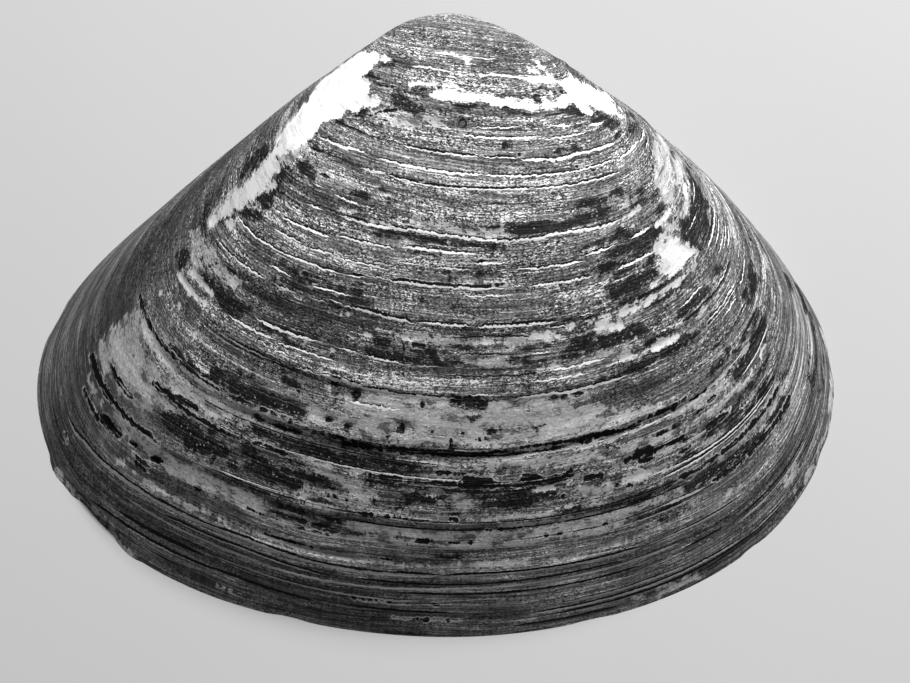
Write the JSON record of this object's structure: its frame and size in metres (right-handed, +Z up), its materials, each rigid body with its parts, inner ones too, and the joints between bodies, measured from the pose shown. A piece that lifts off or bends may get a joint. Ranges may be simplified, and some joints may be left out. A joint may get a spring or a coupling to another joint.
{
  "type": "clam shell",
  "caption": "One valve of a large clam shell, domed side up on its flat rim: a worn outside stepped by growth ledges, a smooth hollow, and a hinge plate with teeth.",
  "frame": {"origin": "on the plane of the rim that the valve rests on, under the middle of its bounding box", "axes": "+Z up out of the domed outside, +Y to the beak and hinge, -Y to the belly edge, +X to the longer front end, -X to the ridged rear end"},
  "size_m": [0.1206, 0.097, 0.0218],
  "materials": {
    "shell": "weathered shell: chalky and satin outside in streaked greys, smooth and glossier inside"
  },
  "bodies": {
    "root": {"valve": "shell"}
  },
  "joints": []
}
